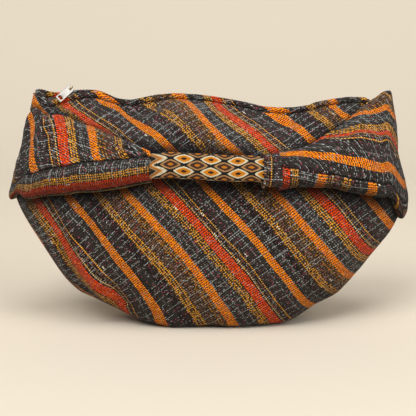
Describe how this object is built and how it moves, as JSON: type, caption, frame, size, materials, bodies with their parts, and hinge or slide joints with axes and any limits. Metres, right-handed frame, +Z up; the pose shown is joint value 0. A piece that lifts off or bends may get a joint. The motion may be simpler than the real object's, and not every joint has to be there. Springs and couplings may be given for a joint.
{
  "type": "crescent cloth handbag",
  "caption": "Soft crescent bag of striped hand-woven cloth with a zip mouth; its wide strap is folded over the front and gathered in a woven trim band.",
  "frame": {"origin": "Centre of the flat patch that the bag rests on, at floor level.", "axes": "X runs along the bag to the viewer's right, the front with the strap faces -Y, and Z is up."},
  "size_m": [0.4198, 0.156, 0.2491],
  "materials": {
    "striped_cloth": "coarse hand-woven cotton in slanting stripes of charcoal, orange, red, ochre and brown",
    "woven_trim": "jacquard-woven trim with rows of diamonds in cream, orange and tan on black",
    "zip_tape": "dark woven zip tape",
    "zip_coil": "dark coil teeth",
    "nickel": "bright nickel plate",
    "brass": "worn brass"
  },
  "bodies": {
    "bag": {"front_panel": "striped_cloth", "back_panel": "striped_cloth", "hem_front": "striped_cloth", "hem_back": "striped_cloth", "zip_tape_front": "zip_tape", "zip_tape_back": "zip_tape", "zip_chain": "zip_coil", "zip_slider": "nickel", "zip_bridge": "brass", "strap_left_outer": "striped_cloth", "strap_left_under": "striped_cloth", "strap_right_outer": "striped_cloth", "strap_right_under": "striped_cloth", "strap_core": "striped_cloth", "cuff": "striped_cloth", "band": "woven_trim"},
    "pull": {"zip_pull": "nickel"}
  },
  "joints": [
    {"name": "pull_swing", "type": "hinge", "parent": "bag", "child": "pull", "pos_m": [-0.14151, -0.007, 0.24599], "axis": [-0.6633, 0, 0.7483], "range_deg": [0, 150]}
  ]
}
